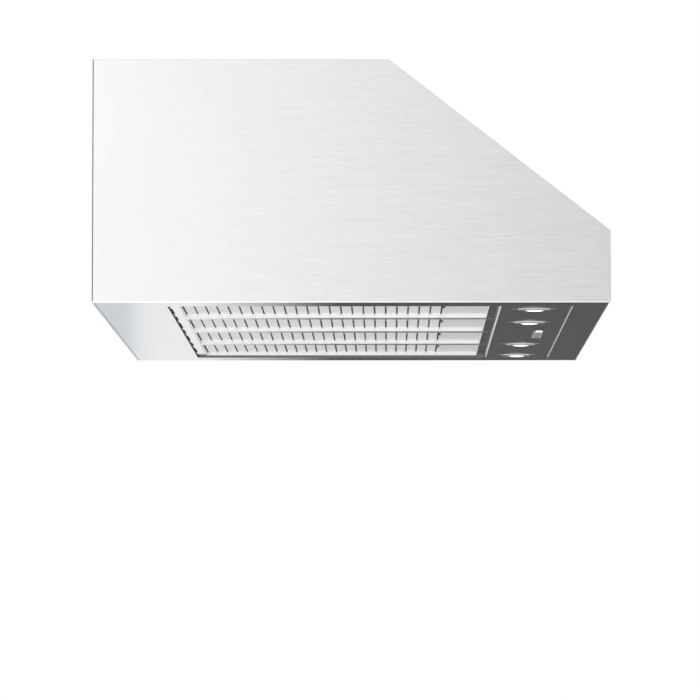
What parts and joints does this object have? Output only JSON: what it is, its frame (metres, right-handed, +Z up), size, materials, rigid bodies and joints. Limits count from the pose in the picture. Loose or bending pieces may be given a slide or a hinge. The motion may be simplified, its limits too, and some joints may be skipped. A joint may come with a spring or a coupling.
{
  "type": "under cabinet range hood",
  "caption": "Brushed steel under cabinet range hood with a sloping front, baffle filters that hinge down, lamps, a control strip and a blower behind a round duct outlet.",
  "frame": {"origin": "centre of the duct outlet in the plane of the top panel, which meets the cabinet", "axes": "+Z up, -Y out of the front, +Y into the wall, X across the width"},
  "size_m": [0.908, 0.559, 0.266],
  "materials": {
    "casing": "satin, brushed along the depth",
    "inner_steel": "galvanised, matt",
    "filter_steel": "bright satin",
    "lamp_trim": "satin",
    "lamp_lens": "frosted",
    "lamp_body": "cast, matt",
    "bezel": "silver, satin",
    "display": "clear over a lit panel",
    "key": "satin grey",
    "board": "circuit board green",
    "rod": "drawn wire",
    "flap": "mill finish",
    "wheel": "mill finish",
    "motor": "black, semi-gloss",
    "screw": "zinc plated",
    "gland": "black nylon",
    "driver": "white",
    "capacitor": "black",
    "cable": "black sheath"
  },
  "bodies": {
    "hood": {"side_panel_left": "casing", "side_panel_right": "casing", "front_canopy": "casing", "back_panel": "casing", "underside_pan": "casing", "lamp_panel": "casing", "top_panel": "casing", "duct_collar": "inner_steel", "scroll_wrap": "inner_steel", "blower_side_left": "inner_steel", "blower_side_right": "inner_steel", "motor_bracket": "inner_steel", "junction_box": "inner_steel", "junction_box_cover": "inner_steel", "lamp_trim_1": "lamp_trim", "lamp_lens_1": "lamp_lens", "lamp_trim_2": "lamp_trim", "lamp_lens_2": "lamp_lens", "lamp_trim_3": "lamp_trim", "lamp_lens_3": "lamp_lens", "lamp_trim_4": "lamp_trim", "lamp_lens_4": "lamp_lens", "lamp_housings": "lamp_body", "control_bezel": "bezel", "display_window": "display", "control_board": "board", "damper_rod": "rod", "motor": "motor", "motor_bolts": "screw", "blower_screws": "screw", "cable_gland": "gland", "led_driver": "driver", "capacitor": "capacitor", "wiring_harness": "cable"},
    "filter_1": {"filter_frame_1": "filter_steel", "filter_baffles_1": "filter_steel", "filter_end_plate_1": "filter_steel"},
    "latch_1": {"filter_latch_1": "filter_steel"},
    "filter_2": {"filter_frame_2": "filter_steel", "filter_baffles_2": "filter_steel", "filter_end_plate_2": "filter_steel"},
    "latch_2": {"filter_latch_2": "filter_steel"},
    "filter_3": {"filter_frame_3": "filter_steel", "filter_baffles_3": "filter_steel", "filter_end_plate_3": "filter_steel"},
    "latch_3": {"filter_latch_3": "filter_steel"},
    "filter_4": {"filter_frame_4": "filter_steel", "filter_baffles_4": "filter_steel", "filter_end_plate_4": "filter_steel"},
    "latch_4": {"filter_latch_4": "filter_steel"},
    "key_1": {"control_key_1": "key"},
    "key_2": {"control_key_2": "key"},
    "key_3": {"control_key_3": "key"},
    "key_4": {"control_key_4": "key"},
    "key_5": {"control_key_5": "key"},
    "front_flap": {"damper_flap_front": "flap"},
    "rear_flap": {"damper_flap_rear": "flap"},
    "rotor": {"blower_wheel": "wheel", "motor_shaft": "rod"}
  },
  "joints": [
    {"name": "filter_1_tilt", "type": "hinge", "parent": "hood", "child": "filter_1", "pos_m": [-0.30225, 0.0785, -0.2618], "axis": [1, 0, 0], "range_deg": [0, 75]},
    {"name": "latch_1_slide", "type": "slide", "parent": "filter_1", "child": "latch_1", "axis": [0, 1, 0], "range_m": [0, 0.004], "stiffness_N_per_m": 400, "springref_m": -0.002},
    {"name": "filter_2_tilt", "type": "hinge", "parent": "hood", "child": "filter_2", "pos_m": [-0.10075, 0.0785, -0.2618], "axis": [1, 0, 0], "range_deg": [0, 75]},
    {"name": "latch_2_slide", "type": "slide", "parent": "filter_2", "child": "latch_2", "axis": [0, 1, 0], "range_m": [0, 0.004], "stiffness_N_per_m": 400, "springref_m": -0.002},
    {"name": "filter_3_tilt", "type": "hinge", "parent": "hood", "child": "filter_3", "pos_m": [0.10075, 0.0785, -0.2618], "axis": [1, 0, 0], "range_deg": [0, 75]},
    {"name": "latch_3_slide", "type": "slide", "parent": "filter_3", "child": "latch_3", "axis": [0, 1, 0], "range_m": [0, 0.004], "stiffness_N_per_m": 400, "springref_m": -0.002},
    {"name": "filter_4_tilt", "type": "hinge", "parent": "hood", "child": "filter_4", "pos_m": [0.30225, 0.0785, -0.2618], "axis": [1, 0, 0], "range_deg": [0, 75]},
    {"name": "latch_4_slide", "type": "slide", "parent": "filter_4", "child": "latch_4", "axis": [0, 1, 0], "range_m": [0, 0.004], "stiffness_N_per_m": 400, "springref_m": -0.002},
    {"name": "key_1_press", "type": "slide", "parent": "hood", "child": "key_1", "axis": [0, 0, 1], "range_m": [0, 0.0008], "stiffness_N_per_m": 600, "springref_m": -0.0015},
    {"name": "key_2_press", "type": "slide", "parent": "hood", "child": "key_2", "axis": [0, 0, 1], "range_m": [0, 0.0008], "stiffness_N_per_m": 600, "springref_m": -0.0015},
    {"name": "key_3_press", "type": "slide", "parent": "hood", "child": "key_3", "axis": [0, 0, 1], "range_m": [0, 0.0008], "stiffness_N_per_m": 600, "springref_m": -0.0015},
    {"name": "key_4_press", "type": "slide", "parent": "hood", "child": "key_4", "axis": [0, 0, 1], "range_m": [0, 0.0008], "stiffness_N_per_m": 600, "springref_m": -0.0015},
    {"name": "key_5_press", "type": "slide", "parent": "hood", "child": "key_5", "axis": [0, 0, 1], "range_m": [0, 0.0008], "stiffness_N_per_m": 600, "springref_m": -0.0015},
    {"name": "front_flap_swing", "type": "hinge", "parent": "hood", "child": "front_flap", "pos_m": [0, 0, -0.036], "axis": [-1, 0, 0], "range_deg": [0, 80]},
    {"name": "rear_flap_swing", "type": "hinge", "parent": "hood", "child": "rear_flap", "pos_m": [0, 0, -0.036], "axis": [1, 0, 0], "range_deg": [0, 80]},
    {"name": "rotor_spin", "type": "hinge", "parent": "hood", "child": "rotor", "pos_m": [0, 0.014, -0.14], "axis": [-1, 0, 0], "continuous": true}
  ]
}
